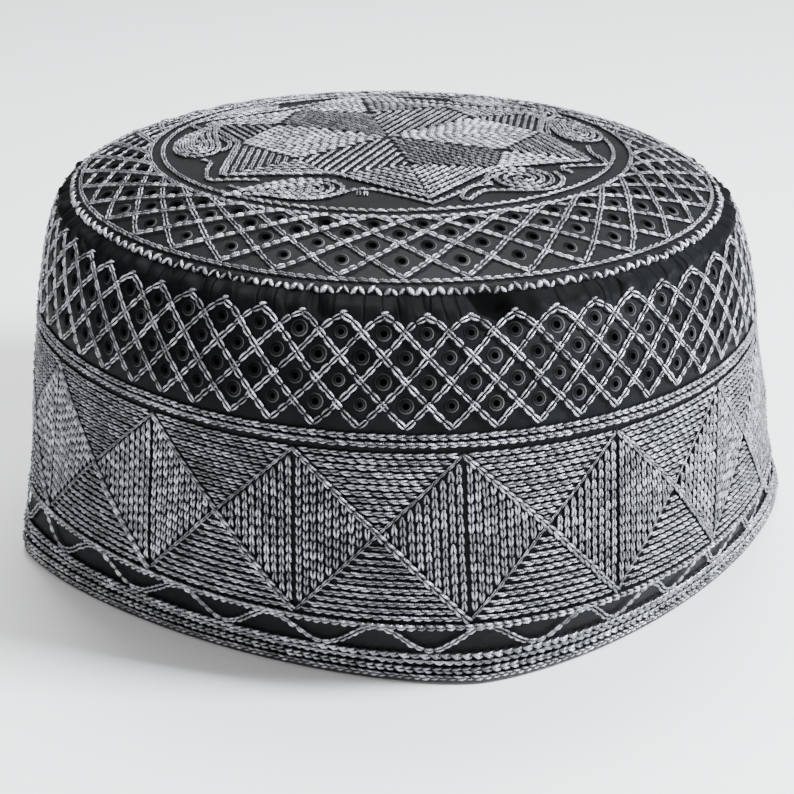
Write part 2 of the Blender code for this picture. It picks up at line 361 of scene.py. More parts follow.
def add_mesh(name, points, faces, uv, material, tone=None):
    """A smooth mesh object from arrays: points, faces of one length each, and corner UVs."""
    mesh = bpy.data.meshes.new(name)
    lengths = np.concatenate([np.full(len(f), f.shape[1]) for f in faces])
    corners = np.concatenate([f.ravel() for f in faces])
    mesh.vertices.add(len(points))
    mesh.vertices.foreach_set("co", np.ascontiguousarray(points, np.float32).ravel())
    mesh.loops.add(len(corners))
    mesh.loops.foreach_set("vertex_index", corners.astype(np.int32))
    mesh.polygons.add(len(lengths))
    starts = np.concatenate([[0], np.cumsum(lengths)[:-1]])
    mesh.polygons.foreach_set("loop_start", starts.astype(np.int32))
    mesh.polygons.foreach_set("use_smooth", np.ones(len(lengths), bool))
    mesh.update(calc_edges=True)
    layer = mesh.uv_layers.new(name="cloth")
    layer.data.foreach_set("uv", np.ascontiguousarray(uv, np.float32).ravel())
    if tone is not None:
        shade = mesh.attributes.new("tone", "FLOAT", "POINT")
        shade.data.foreach_set("value", tone.astype(np.float32))
    mesh.materials.append(material)
    mesh.validate()
    piece = bpy.data.objects.new(name, mesh)
    bpy.context.scene.collection.objects.link(piece)
    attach(piece, BODY)
    print(f"{name}: {int((lengths - 2).sum())} triangles")
    return piece


# %% Building a finish out of nodes
def new_material(name, roughness, specular=0.5, sheen=0.0):
    """A Principled material whose even values are set on the shader's own sockets."""
    material = bpy.data.materials.new(name)
    material.use_nodes = True
    shader = material.node_tree.nodes["Principled BSDF"]
    shader.inputs["Roughness"].default_value = roughness
    shader.inputs["Sheen Weight"].default_value = sheen
    shader.inputs["Sheen Roughness"].default_value = 0.4
    shader.inputs["Specular IOR Level"].default_value = specular
    return material, material.node_tree, shader


def add_node(tree, kind, **values):
    """A node with some of its settings and input values set by name."""
    node = tree.nodes.new(kind)
    for key, value in values.items():
        if hasattr(node, key):
            setattr(node, key, value)
        else:
            node.inputs[key.replace("_", " ")].default_value = value
    return node


def add_math(tree, operation, *values):
    """A Math node; each value is a number or another node's output."""
    node = add_node(tree, "ShaderNodeMath", operation=operation)
    for place, value in enumerate(values):
        if isinstance(value, (int, float)):
            node.inputs[place].default_value = value
        else:
            tree.links.new(value, node.inputs[place])
    return node.outputs["Value"]


def add_range(tree, value, low, high):
    """Nothing below low, all above high, and a straight line between them."""
    node = add_node(tree, "ShaderNodeMapRange", From_Min=low, From_Max=high)
    tree.links.new(value, node.inputs["Value"])
    return node.outputs["Result"]


def mapped_uv(tree, scale, turn=0.0):
    """The UV map, turned and scaled; a scale of 1 / (size in metres) repeats at that size."""
    coords = add_node(tree, "ShaderNodeTexCoord")
    mapping = add_node(tree, "ShaderNodeMapping")
    mapping.inputs["Rotation"].default_value = (0.0, 0.0, radians(turn))
    mapping.inputs["Scale"].default_value = scale
    tree.links.new(coords.outputs["UV"], mapping.inputs["Vector"])
    return mapping.outputs["Vector"]


def color_ramp(tree, factor, stops):
    """A colour ramp through (position, colour) stops."""
    ramp = add_node(tree, "ShaderNodeValToRGB")
    while len(ramp.color_ramp.elements) < len(stops):
        ramp.color_ramp.elements.new(0.5)
    for element, (position, color) in zip(ramp.color_ramp.elements, stops):
        element.position = position
        element.color = (*color, 1.0)
    tree.links.new(factor, ramp.inputs["Fac"])
    return ramp.outputs["Color"]


def add_pattern(tree, kind, vector, Scale=1.0, **values):
    """A noise or wave pattern read at a vector."""
    node = add_node(tree, kind, Scale=Scale, **values)
    tree.links.new(vector, node.inputs["Vector"])
    return node.outputs["Fac"]


def add_bump(tree, shader, height, strength, distance, under=None):
    """A bump that lies over another one, if there is one under it."""
    node = add_node(tree, "ShaderNodeBump", Strength=strength, Distance=distance)
    tree.links.new(height, node.inputs["Height"])
    if under is not None:
        tree.links.new(under, node.inputs["Normal"])
    tree.links.new(node.outputs["Normal"], shader.inputs["Normal"])
    return node.outputs["Normal"]


# %% Black satin cloth
SATIN_ROUGH = 0.56
CREASE_ROUGHER = 0.4
CREASE_HEIGHTS = (0.0852, 0.0874)
# Painted shade: the near black painted into the strip's creases, and as a painted shadow into the
# fold at the join.
PAINTED_CREASE_SHADE = (0.0006, 0.0006, 0.0007, 1.0)
CREASE_SHARE = 0.55
JOIN_SLOPE = 1.45
JOIN_EDGE = (0.1293, 0.1299)
JOIN_FADE = (0.0090, 0.0190)
JOIN_HEIGHTS = (0.0841, 0.0852)


def strip_crease_shade_mask(tree):
    """Thin upright lines, where a stretched noise is one half, and the dark wedge at the join.

    The wedge lies right of a slanted line, u + slope * v = edge, and fades out to the right.
    Both are painted shade: the lines darken the creases, and the wedge is a painted shadow
    where the cloth folds at the join.
    """
    noise = add_pattern(tree, "ShaderNodeTexNoise", mapped_uv(tree, (180.0, 55.0, 1.0)),
                        Detail=1.5)
    line = color_ramp(tree, noise, (
        (0.460, (0.0, 0.0, 0.0)), (0.500, (1.0, 1.0, 1.0)), (0.540, (0.0, 0.0, 0.0)),
    ))
    coords = add_node(tree, "ShaderNodeTexCoord")
    parts = add_node(tree, "ShaderNodeSeparateXYZ")
    tree.links.new(coords.outputs["UV"], parts.inputs["Vector"])
    across, upward = parts.outputs["X"], parts.outputs["Y"]
    slanted = add_math(tree, "MULTIPLY_ADD", upward, JOIN_SLOPE, across)
    fading = add_math(tree, "SUBTRACT", 1.0, add_range(tree, across, *JOIN_FADE))
    wedge = add_math(tree, "MULTIPLY", add_range(tree, slanted, *JOIN_EDGE), fading)
    wedge = add_math(tree, "MULTIPLY", wedge, add_range(tree, upward, *JOIN_HEIGHTS))
    thin = add_math(tree, "MULTIPLY", line, CREASE_SHARE)
    thin = add_math(tree, "MULTIPLY", thin, add_range(tree, upward, *CREASE_HEIGHTS))
    return add_math(tree, "MAXIMUM", thin, wedge)


def make_cloth(name, shine, creased=False):
    """Fine slanted satin lines 0.45 mm apart, soft folds, a slightly uneven black, and, when
    creased, painted shade.
    """
    material, tree, shader = new_material(name, SATIN_ROUGH, shine)
    weave = add_pattern(tree, "ShaderNodeTexWave", mapped_uv(tree, (350.0, 350.0, 1.0), 28.0),
                        Distortion=0.8, Detail=1.0)
    threads = add_pattern(tree, "ShaderNodeTexNoise", mapped_uv(tree, (2600.0, 700.0, 1.0)),
                          Detail=2.0)
    folds = add_pattern(tree, "ShaderNodeTexNoise", mapped_uv(tree, (60.0, 85.0, 1.0)),
                        Detail=3.0, Roughness=0.6)
    tint = color_ramp(tree, folds, (
        (0.25, (0.0018, 0.0019, 0.0021)),
        (0.55, (0.0034, 0.0037, 0.0042)),
        (0.80, (0.0066, 0.0074, 0.0086)),
    ))
    under = None
    if creased:
        crease = strip_crease_shade_mask(tree)
        # Painted shade: the creases and the shadowed wedge at the join are painted near black.
        darker = add_node(tree, "ShaderNodeMixRGB", Color2=PAINTED_CREASE_SHADE)
        tree.links.new(crease, darker.inputs["Fac"])
        tree.links.new(tint, darker.inputs["Color1"])
        tint = darker.outputs["Color"]
        rough = add_math(tree, "MULTIPLY_ADD", crease, CREASE_ROUGHER, SATIN_ROUGH)
        tree.links.new(rough, shader.inputs["Roughness"])
        under = add_bump(tree, shader, add_math(tree, "SUBTRACT", 1.0, crease), 0.6, 0.0007)
    tree.links.new(tint, shader.inputs["Base Color"])
    folded = add_bump(tree, shader, folds, 0.55, 0.0014, under)
    woven = add_bump(tree, shader, weave, 0.20, 0.00005, folded)
    add_bump(tree, shader, threads, 0.30, 0.00010, woven)
    return material


# The crown's satin lies flatter and catches more light than the side's.
SIDE_SATIN = make_cloth("black_satin_side", 0.05)
# The strip's satin carries painted shade in its creases and a painted shadow at the join.
CREASE_SHADED_SATIN = make_cloth("black_satin_creased", 0.035, creased=True)
CROWN_SATIN = make_cloth("black_satin_crown", 0.105)


# %% Black braid of the hem
def make_braid():
    """Slanted ribs 0.9 mm apart on a deep matt black."""
    material, tree, shader = new_material("black_braid", 0.72, 0.3, sheen=0.15)
    ribs = add_pattern(tree, "ShaderNodeTexWave", mapped_uv(tree, (180.0, 180.0, 1.0), 40.0),
                       Distortion=0.6, Detail=1.0)
    wear = add_pattern(tree, "ShaderNodeTexNoise", mapped_uv(tree, (140.0, 140.0, 1.0)),
                       Detail=3.0)
    tint = color_ramp(tree, wear, (
        (0.35, (0.0065, 0.0060, 0.0062)),
        (0.75, (0.0150, 0.0130, 0.0130)),
    ))
    tree.links.new(tint, shader.inputs["Base Color"])
    add_bump(tree, shader, ribs, 0.5, 0.00015)
    return material


BRAID = make_braid()


# %% Silver grey thread
def make_thread():
    """A shiny two-ply thread: slanted lines round each strand, and each stitch's tone, partly its
    own and partly painted shade and highlight.
    """
    material, tree, shader = new_material("silver_thread", 0.29)
    shader.inputs["Metallic"].default_value = 0.70
    tone = add_node(tree, "ShaderNodeAttribute", attribute_name="tone")
    twist = add_pattern(tree, "ShaderNodeTexWave", mapped_uv(tree, (1.6, 0.8, 1.0), 35.0),
                        Distortion=0.5, Detail=1.0)
    place = add_node(tree, "ShaderNodeTexCoord")
    patch = add_pattern(tree, "ShaderNodeTexNoise", place.outputs["Object"], Scale=70.0,
                        Detail=2.0)
    mixed = add_math(tree, "MULTIPLY_ADD", patch, 0.35, tone.outputs["Fac"])
    tint = color_ramp(tree, mixed, (
        (0.20, (0.030, 0.030, 0.033)),
        (0.60, (0.158, 0.159, 0.172)),
        (1.00, (0.530, 0.542, 0.585)),
    ))
    tree.links.new(tint, shader.inputs["Base Color"])
    add_bump(tree, shader, twist, 0.45, 0.00012)
    return material


THREAD = make_thread()

# %% [markdown]
# ## The cloth and the edge
#
# The side, the crown and the roll under the crown's seam are read from the two surfaces as
# open sheets. A Solidify modifier gives the sheets the cloth's thickness, inwards, so the
# inside of the cap is there too when it is seen from below.

# %% Sheets from a grid
SIDE_COLUMNS = 576
CROWN_COLUMNS = 320
RING_COLUMNS = 480
HEM_ROUND = 0.575
RING_ROUND = 0.55
RING_GIRTH = 0.006


def sheet_faces(rows, columns, closed=False):
    """Quads between the rows of a grid that goes all the way round, and over when closed."""
    row, col = np.meshgrid(np.arange(rows - (not closed)), np.arange(columns), indexing="ij")
    above = (row + 1) % rows
    after = (col + 1) % columns
    quads = np.stack([row * columns + col, row * columns + after,
                      above * columns + after, above * columns + col], axis=-1)
    return quads.reshape(-1, 4)


def sheet_uv(rows, columns, across, along, closed=False):
    """Corner UVs of the same quads: metres round and metres up, with no jump at the seam."""
    row, col = np.meshgrid(np.arange(rows - (not closed)), np.arange(columns), indexing="ij")
    u = np.stack([col, col + 1, col + 1, col], axis=-1) * across / columns
    v = along[np.stack([row, row, row + 1, row + 1], axis=-1)]
    return np.stack([u, v], axis=-1).reshape(-1, 2)


def give_wall(piece):
    """The cloth's thickness, on the inner side of a sheet."""
    wall = piece.modifiers.new("cloth wall", "SOLIDIFY")
    wall.thickness = CLOTH_WALL
    wall.offset = -1.0


# %% The side band
PUCKERS = (Ripple(73, 1.0, 10.0), Ripple(97, 0.8, 200.0), Ripple(41, 0.9, 80.0))
PUCKER_PLACE = 0.978
PUCKER_SPREAD = 0.013
PUCKER_SIZE = 0.00042
FOLD_PLACE = 0.0060
FOLD_SPREAD = 0.0055
FOLD_DEPTH = 0.0020
LIP_PLACE = -0.0060
LIP_SPREAD = 0.0060
LIP_HEIGHT = 0.0009
STRIP_FROM = 0.933


def puckers(share, height_share):
    """Small upright folds in the strip under the seam: sines that beat, and the join."""
    angle = 2 * pi * share
    wave = sum(r.share * np.sin(r.count * angle + radians(r.start)) for r in PUCKERS)
    off = (share + 0.5) % 1.0 - 0.5
    join = (LIP_HEIGHT * bump(off, LIP_PLACE, LIP_SPREAD)
            - FOLD_DEPTH * bump(off, FOLD_PLACE, FOLD_SPREAD))
    return (PUCKER_SIZE * wave + join) * bump(height_share, PUCKER_PLACE, PUCKER_SPREAD)


foot = (BINDING_HEIGHT + 0.3 * MM) / SIDE_HEIGHT
rows_up = np.concatenate([[foot], np.linspace(0.030, 0.90, 34), np.linspace(0.91, 1.0, 18)])
shares = np.arange(SIDE_COLUMNS) / SIDE_COLUMNS
points, facing = on_side(shares[None, :], rows_up[:, None] * SIDE_HEIGHT / MM)
points = points + facing * puckers(shares[None, :], rows_up[:, None])[..., None]
side_cloth = add_mesh(
    "side_cloth", points.reshape(-1, 3), [sheet_faces(len(rows_up), SIDE_COLUMNS)],
    sheet_uv(len(rows_up), SIDE_COLUMNS, HEM_ROUND, rows_up * SIDE_HEIGHT),
    SIDE_SATIN,
)
side_cloth.data.materials.append(CREASE_SHADED_SATIN)
in_strip = np.repeat(rows_up[:-1] > STRIP_FROM, SIDE_COLUMNS).astype(np.int32)
side_cloth.data.polygons.foreach_set("material_index", in_strip)
print(f"{in_strip.sum()} faces of the side have the creased finish")
give_wall(side_cloth)
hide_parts("side_band")

# %% The crown panel
rows_in = np.concatenate([[0.0, 0.01, 0.02], np.linspace(0.03, 0.97, 34)])
shares = np.arange(CROWN_COLUMNS) / CROWN_COLUMNS
points, _ = on_crown(shares[None, :], rows_in[:, None])
peak, _ = on_crown_plan(np.zeros(1), np.zeros(1))
quads = sheet_faces(len(rows_in), CROWN_COLUMNS)
last = (len(rows_in) - 1) * CROWN_COLUMNS + np.arange(CROWN_COLUMNS)
fan = np.stack([last, np.roll(last, -1), np.full(CROWN_COLUMNS, len(rows_in) * CROWN_COLUMNS)],
               axis=-1)
points = np.concatenate([points.reshape(-1, 3), peak])
uv = np.concatenate([points[quads.ravel(), :2], points[fan.ravel(), :2]])
crown_cloth = add_mesh("crown_cloth", points, [quads, fan], uv,
                       CROWN_SATIN)
give_wall(crown_cloth)
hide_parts("crown_panel")


# %% Rings carried round the cap
UP = np.array([0.0, 0.0, 1.0])


def level_out(along):
    """Level directions square to a way round the cap, pointing outward."""
    return unit(np.stack([along[:, 1], -along[:, 0], np.zeros(len(along))], axis=1))


def carried_ring(base, outward, upward):
    """A closed profile carried along a line of points; outward is level and square to it."""
    side = level_out(np.roll(base, -1, axis=0) - np.roll(base, 1, axis=0))
    return np.array([base + side * o + UP * h for o, h in zip(outward, upward)])


def oval(sides, half_out, half_up, out=0.0, up=0.0):
    """An oval profile as offsets outward and upward."""
    angle = 2 * pi * np.arange(sides) / sides
    return out + half_out * np.cos(angle), up + half_up * np.sin(angle)


def add_ring(name, base, profile, material):
    """A mesh of a profile carried along a line of points."""
    rings = carried_ring(base, *profile)
    rows, columns = rings.shape[:2]
    girth = np.linspace(0.0, 1.0, rows + 1) * RING_GIRTH
    return add_mesh(name, rings.reshape(-1, 3), [sheet_faces(rows, columns, closed=True)],
                    sheet_uv(rows, columns, RING_ROUND, girth, closed=True), material)


ROLL_RADIUS = 0.0009
ROLL_IN = 0.0006


def seam_places(share):
    """Points along the middle of the seam's roll, and the level directions out from them."""
    base, _ = on_side(share, SIDE_HEIGHT / MM)
    ahead, _ = on_side(share + 0.001, SIDE_HEIGHT / MM)
    out = level_out(ahead - base)
    return base - out * ROLL_IN, out


ring_shares = np.arange(RING_COLUMNS) / RING_COLUMNS
seam_line, _ = seam_places(ring_shares)
hem_line, _ = on_side(ring_shares, 0.0)
seam_roll = add_ring("seam_roll", seam_line, oval(10, ROLL_RADIUS, ROLL_RADIUS),
                     SIDE_SATIN)
half = BINDING_HEIGHT / 2
hem_braid = add_ring("hem_braid", hem_line, oval(12, 1.6 * MM, half, out=-0.8 * MM, up=half),
                     BRAID)
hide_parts("hem_binding")

# %% [markdown]
# ## One chain stitch
#
# A chain stitch is a loop of thread. It comes up inside the loop before it, spreads into two
# strands, and is held down by the loop after it. Short tables describe one loop along its
# way, and every stitch of the cap is such a loop, laid from one point of the cloth to the
# next. The stitches of a pattern are laid all at once, as whole arrays.

# %% The strands of one stitch
Station = namedtuple("Station", "along across height thick tone")
# The tone column is painted light: each stitch is painted darker at its ends, where they are tucked
# under the loops beside it, and lighter at its middle, a painted highlight.
LOOP = (
    Station(-0.26, 0.02, 0.00, 0.00, 0.30),
    Station(0.04, 0.12, 0.26, 0.19, 0.75),
    Station(0.46, 0.25, 0.46, 0.24, 1.25),
    Station(0.90, 0.31, 0.32, 0.21, 0.90),
    Station(1.20, 0.20, 0.02, 0.00, 0.30),
)
OPEN_LOOP = (
    Station(-0.14, 0.05, 0.02, 0.00, 0.35),
    Station(0.08, 0.22, 0.28, 0.17, 0.80),
    Station(0.50, 0.33, 0.36, 0.20, 1.28),
    Station(0.90, 0.27, 0.28, 0.19, 0.95),
    Station(1.14, 0.05, 0.08, 0.00, 0.35),
)
BAR = (
    Station(-0.08, 0.00, -0.25, 0.00, 0.60),
    Station(0.14, 0.00, 0.25, 0.34, 1.00),
    Station(0.50, 0.00, 0.50, 0.44, 1.25),
    Station(0.86, 0.00, 0.25, 0.36, 1.00),
    Station(1.08, 0.00, -0.25, 0.00, 0.60),
)
STRAND_SIDES = 4
SUNK = 0.6
AXIS_ACROSS = 0.25
AXIS_HEIGHT = 0.3
Template = namedtuple("Template", "along across height tone quads thirds uv")


def strand(stations, side):
    """One spindle of thread: a point, a ring of corners at each inner station, a point."""
    angle = 2 * pi * np.arange(STRAND_SIDES) / STRAND_SIDES
    up = np.sin(angle)
    up = np.where(up < 0, SUNK * up, up)
    along, across, height, tone, uv_at = [], [], [], [], []
    for s in stations:
        rim = s.thick > 0
        around = np.cos(angle) if rim else np.zeros(1)
        over = up if rim else np.zeros(1)
        along.append(np.full(len(around), s.along))
        across.append(side * (s.across + s.thick * around))
        height.append(s.height + s.thick * over)
        tone.append(np.full(len(around), s.tone))
    k = np.arange(STRAND_SIDES)
    after = (k + 1) % STRAND_SIDES
    first = 1 + np.arange(len(stations) - 3)[:, None] * STRAND_SIDES
    quads = np.stack([first + k, first + after, first + STRAND_SIDES + after,
                      first + STRAND_SIDES + k], axis=-1).reshape(-1, 4)
    end = 1 + (len(stations) - 2) * STRAND_SIDES
    last = end - STRAND_SIDES
    thirds = np.concatenate([
        np.stack([np.zeros_like(k), 1 + after, 1 + k], axis=-1),
        np.stack([np.full_like(k, end), last + k, last + after], axis=-1),
    ])
    if side < 0:
        quads = quads[:, ::-1]
        thirds = thirds[:, ::-1]
    flat = [np.concatenate(rows) for rows in (along, across, height, tone)]
    return flat, quads, thirds


def make_template(stations, sides):
    """The corners and faces of one stitch, made of one strand for each side in sides."""
    parts = [strand(stations, side) for side in sides]
    count = len(parts[0][0][0])
    fields = [np.concatenate([p[0][i] for p in parts]) for i in range(4)]
    quads = np.concatenate([p[1] + count * i for i, p in enumerate(parts)])
    thirds = np.concatenate([p[2] + count * i for i, p in enumerate(parts)])
    corners = np.concatenate([quads.ravel(), thirds.ravel()])
    turn = np.arctan2(fields[2] - AXIS_HEIGHT, np.abs(fields[1]) - AXIS_ACROSS) / (2 * pi)
    uv = np.stack([fields[0], turn], axis=-1)[corners]
    return Template(*fields, quads, thirds, uv)


CLOSED_STITCH = make_template(LOOP, (1, -1))
OPEN_STITCH = make_template(OPEN_LOOP, (1, -1))
BAR_STITCH = make_template(BAR, (1,))


# %% Chains of stitches along a path
def chain(points, normals, width, pitch, lift=0.0, skew=0.0, shade=0.0):
    """Rows of start, end, normal, width, skew and shade, for equal stitches along a path.

    The pitch is changed a little, so that a whole number of stitches fills the path.
    """
    step = np.linalg.norm(np.diff(points, axis=0), axis=1)
    run = np.concatenate([[0.0], np.cumsum(step)])
    count = max(1, round(run[-1] / (pitch * MM)))
    even = np.linspace(0.0, run[-1], count + 1)
    knots = np.stack([np.interp(even, run, points[:, i]) for i in range(3)], axis=1)
    facing = np.stack([np.interp(even, run, normals[:, i]) for i in range(3)], axis=1)
    knots = knots + facing * lift * MM
    normal = (facing[1:] + facing[:-1]) / 2
    rest = np.broadcast_to([width * MM, skew, shade], (count, 3))
    return np.concatenate([knots[:-1], knots[1:], normal, rest], axis=1)


THREAD_TONE = 0.44
Looseness = namedtuple("Looseness", "width length ahead aside tone")
LOOSE = Looseness(0.06, 0.04, 0.03, 0.04, 0.10)


def sew(name, runs, template=CLOSED_STITCH, uneven=1.0):
    """One mesh of all the stitches of a pattern, each a little different from the next."""
    rows = np.concatenate(runs)
    count = len(rows)
    chance = np.random.default_rng(count)
    loose = chance.normal(0.0, 1.0, (count, 5)).clip(-2, 2) * uneven
    start, end, normal = rows[:, 0:3], rows[:, 3:6], rows[:, 6:9]
    way = end - start
    across = unit(np.cross(normal, way))
    up = unit(np.cross(way, across))
    width = rows[:, 9:10] * (1 + LOOSE.width * loose[:, 0:1])
    along = template.along * (1 + LOOSE.length * loose[:, 1:2]) + LOOSE.ahead * loose[:, 2:3]
    along = along + rows[:, 10:11] * np.sign(template.across)
    sideways = template.across + LOOSE.aside * loose[:, 3:4]
    points = (start[:, None, :] + way[:, None, :] * along[..., None]
              + across[:, None, :] * (width * sideways)[..., None]
              + up[:, None, :] * (width * template.height)[..., None])
    # A stitch's tone: its own random tone and its pattern's shade, times the painted shade and
    # highlight of the template's tone column.
    tone = (THREAD_TONE + LOOSE.tone * loose[:, 4:5] + rows[:, 11:12]) * template.tone
    base = np.arange(count)[:, None, None] * len(template.along)
    faces = [(template.quads[None] + base).reshape(-1, 4),
             (template.thirds[None] + base).reshape(-1, 3)]
    corner_count = template.quads.size
    uv = np.concatenate([np.tile(template.uv[:corner_count], (count, 1)),
                         np.tile(template.uv[corner_count:], (count, 1))])
    print(f"{name}: {count} stitches")
    return add_mesh(name, points.reshape(-1, 3), faces, uv, THREAD,
                    tone.ravel())


# %% [markdown]
# ## The pattern of the side
#
# From the hem upward there are four plain rows, a wave between them and a fifth row, the
# band of filled diamonds, a double row, and a lattice of crossing strands with an eyelet in
# each opening. Heights are in millimetres, and places round the cap are shares of the way
# round from the front. The nearest part was measured one motif at a time, and the rest is
# spaced evenly.


# %% Paths on the side
def side_path(shares, heights_mm, steps=24):
    """Points and normals along straight runs between knots on the side."""
    knots = np.arange(len(shares))
    fine = np.linspace(0, len(shares) - 1, steps * (len(shares) - 1) + 1)
    return on_side(np.interp(fine, knots, shares), np.interp(fine, knots, heights_mm))


def side_rows(table):
    """Rows of stitches right round the cap; back means that a row was sewn leftward."""
    shares = np.linspace(0.0, 1.0, ROUND + 1)
    return [chain(*on_side(shares[::-1] if row.back else shares, row.height),
                  row.width, row.pitch, skew=row.skew) for row in table]


# %% Rows at the hem and above the diamonds
HemRow = namedtuple("HemRow", "name height width pitch back skew")
HEM_ROWS = (
    HemRow("edge", 1.60, 1.40, 1.95, True, -0.24),
    HemRow("second", 3.75, 1.85, 2.15, False, -0.06),
    HemRow("third", 6.35, 1.60, 2.15, True, -0.20),
    HemRow("fourth", 9.10, 2.05, 2.30, False, -0.08),
    HemRow("above_wave", 18.60, 1.85, 2.10, True, -0.08),
)
sew("hem_rows", side_rows(HEM_ROWS))
DOUBLE_ROWS = (
    HemRow("under", 61.75, 1.40, 2.10, True, -0.15),
    HemRow("over", 63.55, 1.35, 2.10, False, -0.10),
)
sew("double_row", side_rows(DOUBLE_ROWS))

# %% The wave
Turn = namedtuple("Turn", "number share")
WAVE_TURNS = (
    Turn(-4.0, -0.2000), Turn(-3.5, -0.1720), Turn(-3.0, -0.1500), Turn(-2.5, -0.1215),
    Turn(-2.0, -0.1035), Turn(-1.5, -0.0807), Turn(-1.0, -0.0611), Turn(-0.5, -0.0393),
    Turn(0.0, -0.0198), Turn(0.5, 0.0002), Turn(1.0, 0.0215), Turn(1.5, 0.0411),
    Turn(2.0, 0.0574), Turn(2.5, 0.0740), Turn(3.0, 0.0905), Turn(3.5, 0.1080),
    Turn(4.0, 0.1250), Turn(22.0, 0.8000),
)
WAVE_MIDDLE = 14.6
WAVE_REACH = 3.75
number = np.linspace(-4.0, 22.0, 26 * 48 + 1)
shares = np.interp(number, column(WAVE_TURNS, "number"), column(WAVE_TURNS, "share"))
wave = on_side(shares, WAVE_MIDDLE - WAVE_REACH * np.cos(2 * pi * number))
sew("wave", [chain(*wave, 1.65, 2.3, lift=0.15)], OPEN_STITCH)

# %% Where the diamonds are
Diamond = namedtuple("Diamond", "foot top")
SEEN_DIAMONDS = (
    Diamond(-0.2115, -0.2018),
    Diamond(-0.1383, -0.1323),
    Diamond(-0.0707, -0.0683),
    Diamond(-0.0053, -0.0057),
    Diamond(0.0558, 0.0568),
    Diamond(0.1158, 0.1215),
)
UNSEEN_DIAMONDS = 10
FOOT_HEIGHT = 20.0
SIDE_TIP_HEIGHT = 40.8
TOP_HEIGHT = 59.3


def all_round(seen):
    """The seen places, then the unseen ones evenly up to the first one again."""
    rest = np.linspace(seen[-1], seen[0] + 1.0, UNSEEN_DIAMONDS + 2)[1:]
    return np.concatenate([seen, rest])


feet = all_round(column(SEEN_DIAMONDS, "foot"))
tops = all_round(column(SEEN_DIAMONDS, "top"))
slide = (SIDE_TIP_HEIGHT - FOOT_HEIGHT) / (TOP_HEIGHT - FOOT_HEIGHT)
waists = feet + (tops - feet) * slide
tips = (waists[:-1] + waists[1:]) / 2
tips_left = np.concatenate([[tips[-1] - 1.0], tips[:-1]])
DIAMONDS = len(SEEN_DIAMONDS) + UNSEEN_DIAMONDS
BAND_ROUND = float(np.interp(SIDE_TIP_HEIGHT * MM / SIDE_HEIGHT, side_share, side_round)) / MM
print(f"{DIAMONDS} diamonds, {BAND_ROUND / DIAMONDS:.1f} mm wide on average")

# %% Upright chains that fill the diamonds
MIDDLE_GAP = 0.55
FILL_INSET = 1.1
TIP_INSET = 0.9
SHORTEST = 1.2
Half = namedtuple("Half", "side pitch width down")
HALVES = (Half(-1, 1.75, 1.36, True), Half(1, 1.68, 1.38, False))


def fill_diamond(i, half):
    """Upright chains in one half of a diamond, from its lower edge to its upper edge."""
    reach = (tips[i] if half.side > 0 else tips_left[i]) - waists[i]
    reach_mm = abs(reach) * BAND_ROUND
    runs = []
    for off in np.arange(MIDDLE_GAP / 2 + half.pitch / 2, reach_mm - TIP_INSET, half.pitch):
        q = off / reach_mm
        low = FOOT_HEIGHT + (SIDE_TIP_HEIGHT - FOOT_HEIGHT) * q + FILL_INSET
        high = TOP_HEIGHT - (TOP_HEIGHT - SIDE_TIP_HEIGHT) * q - FILL_INSET
        if high - low < SHORTEST:
            continue
        z = np.array([high, low]) if half.down else np.array([low, high])
        middle = feet[i] + (tops[i] - feet[i]) * (z - FOOT_HEIGHT) / (TOP_HEIGHT - FOOT_HEIGHT)
        runs.append(chain(*side_path(middle + q * reach, z), half.width, 2.35))
    return runs


runs = []
for i in range(DIAMONDS):
    for half in HALVES:
        runs += fill_diamond(i, half)
sew("diamond_columns", runs)

# %% The diamonds' edges
Edge = namedtuple("Edge", "start end width lift shade")
EDGES = (
    Edge("left", "foot", 1.75, 0.22, 0.00), Edge("top", "left", 0.75, 0.05, -0.10),
    Edge("top", "right", 1.45, 0.22, 0.00), Edge("foot", "right", 0.85, 0.05, -0.08),
)
runs = []
for i in range(DIAMONDS):
    corners = {"left": (tips_left[i], SIDE_TIP_HEIGHT), "right": (tips[i], SIDE_TIP_HEIGHT),
               "foot": (feet[i], FOOT_HEIGHT), "top": (tops[i], TOP_HEIGHT)}
    for edge in EDGES:
        path = side_path(*zip(corners[edge.start], corners[edge.end]))
        runs.append(chain(*path, edge.width, 2.3, lift=edge.lift, shade=edge.shade))
sew("diamond_edges", runs)

# %% Level chains between the diamonds
LEVEL_INSET = 1.0 / BAND_ROUND
Levels = namedtuple("Levels", "base first pitch backward skew")
LOWER = Levels(FOOT_HEIGHT, 20.7, 1.68, True, -0.22)
UPPER = Levels(TOP_HEIGHT, 59.1, 1.50, False, -0.10)


def fill_between(ends, tip, levels):
    """Level chains between two diamonds, in the triangle from a base line to a side tip."""
    runs = []
    left_end, right_end = ends
    turn = 1 if SIDE_TIP_HEIGHT > levels.base else -1
    for z in np.arange(levels.first, SIDE_TIP_HEIGHT - 1.3 * turn, levels.pitch * turn):
        q = (z - levels.base) / (SIDE_TIP_HEIGHT - levels.base)
        a = left_end + (tip - left_end) * q + LEVEL_INSET
        b = right_end + (tip - right_end) * q - LEVEL_INSET
        if b - a < LEVEL_INSET:
            continue
        shares = [b, a] if levels.backward else [a, b]
        runs.append(chain(*side_path(shares, [z, z], 60), 1.18, 2.25, skew=levels.skew))
    return runs


for name, levels, ends in (("lower_rows", LOWER, feet), ("upper_rows", UPPER, tops)):
    runs = []
    for i in range(DIAMONDS):
        runs += fill_between(ends[i:i + 2], tips[i], levels)
    sew(name, runs)

